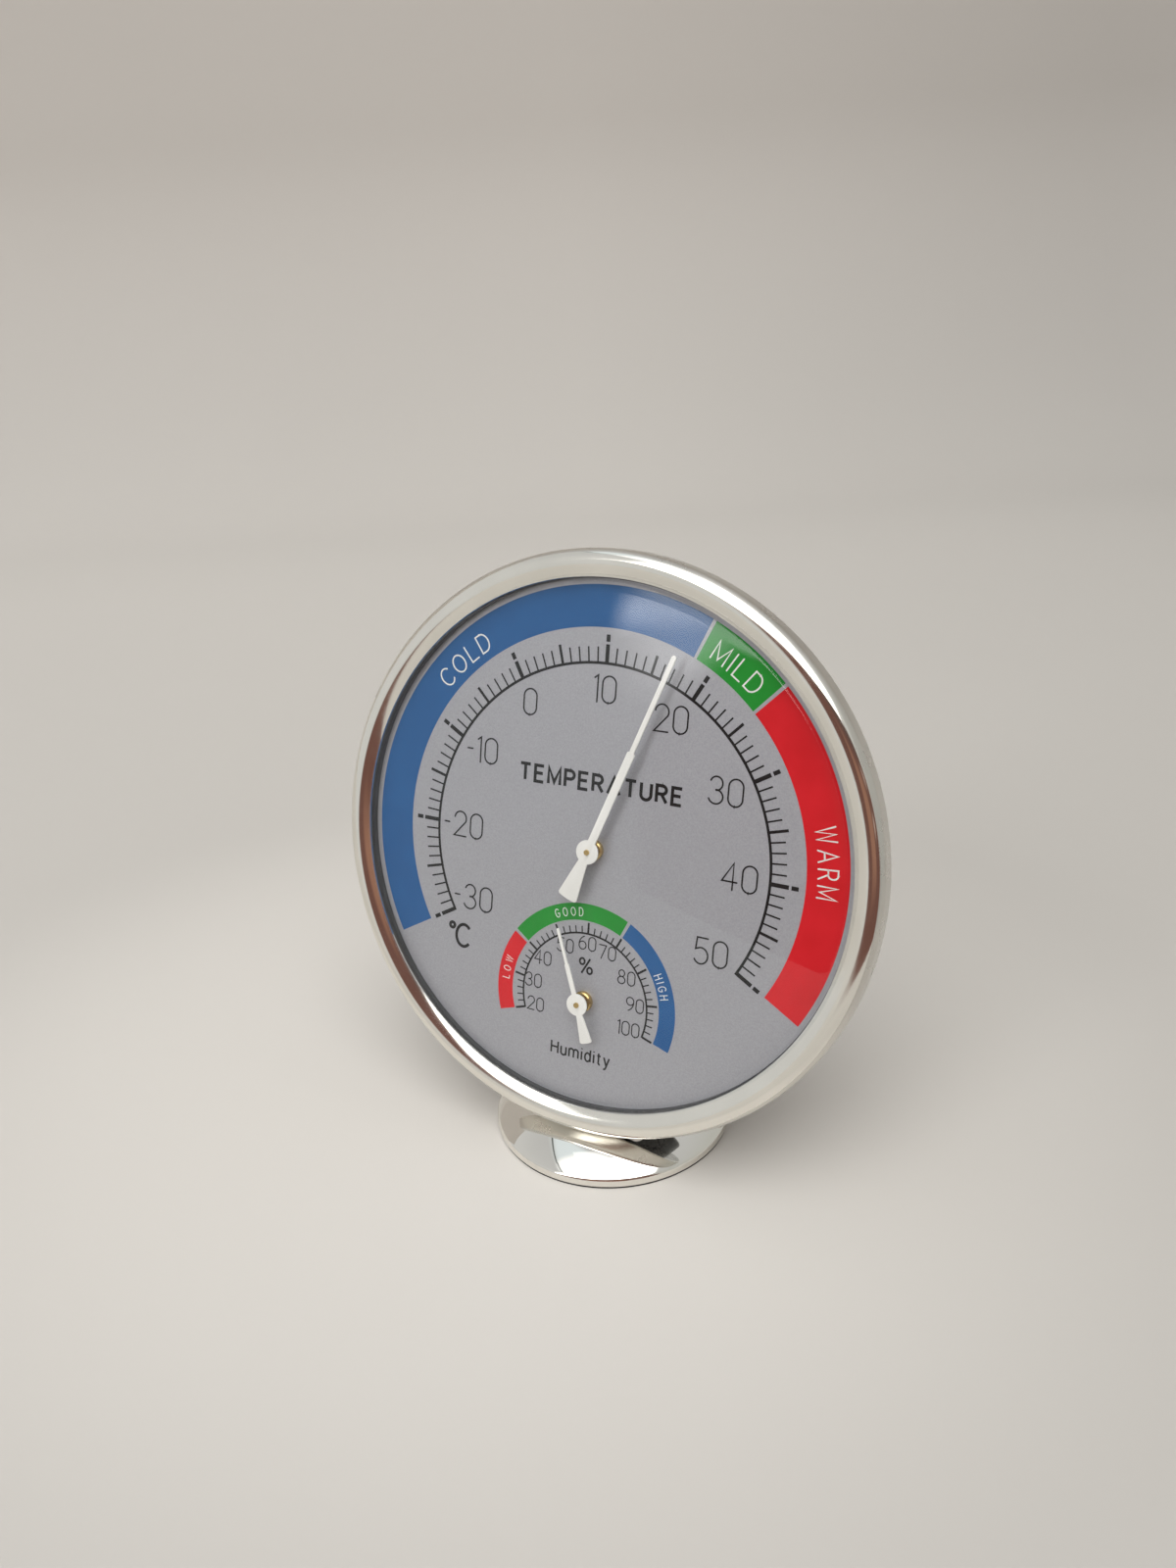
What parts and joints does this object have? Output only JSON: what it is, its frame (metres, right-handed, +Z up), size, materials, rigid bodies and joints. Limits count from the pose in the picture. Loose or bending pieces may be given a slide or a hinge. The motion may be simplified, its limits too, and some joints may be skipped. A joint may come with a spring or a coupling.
{
  "type": "dial thermometer and hygrometer",
  "caption": "Round dial thermometer with a small hygrometer dial in its lower half, in a bright ring under a clear lens, leaning back on a short neck and a domed round base.",
  "frame": {"origin": "middle of the stand's underside, on the table", "axes": "+Z up, +X to the right of someone who reads the dial, the dial looks towards -Y and leans back by 15 degrees"},
  "size_m": [0.129, 0.0558, 0.1336],
  "materials": {
    "chrome": "polished",
    "steel": "zinc plated",
    "brushed_metal": "brushed",
    "matte_black": "matte",
    "grey_plastic": "matte",
    "foot_rubber": "matte",
    "clear_lens": "clear, smooth",
    "satin_dial": "satin, printed",
    "back_metal": "satin",
    "case_plastic": "gloss",
    "brass": "turned",
    "bimetal": "rolled",
    "white_paint": "satin white"
  },
  "bodies": {
    "stand": {"stand_base": "chrome", "base_weight": "steel", "base_cover": "matte_black", "foot_pad": "foot_rubber", "stand_neck": "brushed_metal", "neck_screws": "steel"},
    "head": {"bezel": "chrome", "lens": "clear_lens", "spacer_ring": "grey_plastic", "dial_plate": "satin_dial", "back_ring": "back_metal", "rear_case": "case_plastic", "case_screws": "steel", "thermo_bracket": "brass", "thermo_bush": "brass", "thermo_nut": "brass", "thermo_coil": "bimetal", "thermo_coil_post": "brass", "hygro_bracket": "brass", "hygro_bush": "brass", "hygro_nut": "brass", "hygro_coil": "bimetal", "hygro_coil_post": "brass"},
    "thermo_movement": {"thermo_arbor": "brass", "thermo_collet": "brass", "thermo_pointer": "white_paint"},
    "hygro_movement": {"hygro_arbor": "brass", "hygro_collet": "brass", "hygro_pointer": "white_paint"}
  },
  "joints": [
    {"name": "stand_slide", "type": "slide", "parent": "stand", "child": "head", "axis": [0, 0.2588, 0.9659], "range_m": [0, 0.0125]},
    {"name": "thermo_pointer_turn", "type": "hinge", "parent": "head", "child": "thermo_movement", "pos_m": [0, -0.0017, 0.07097], "axis": [0, 0.9659, -0.2588], "range_deg": [-141, 99], "stiffness_Nm_per_rad": 0.002, "deforming": ["thermo_coil"]},
    {"name": "hygro_pointer_turn", "type": "hinge", "parent": "head", "child": "hygro_movement", "pos_m": [0, -0.01068, 0.03745], "axis": [0, 0.9659, -0.2588], "range_deg": [-88, 128], "stiffness_Nm_per_rad": 0.001, "deforming": ["hygro_coil"]}
  ]
}
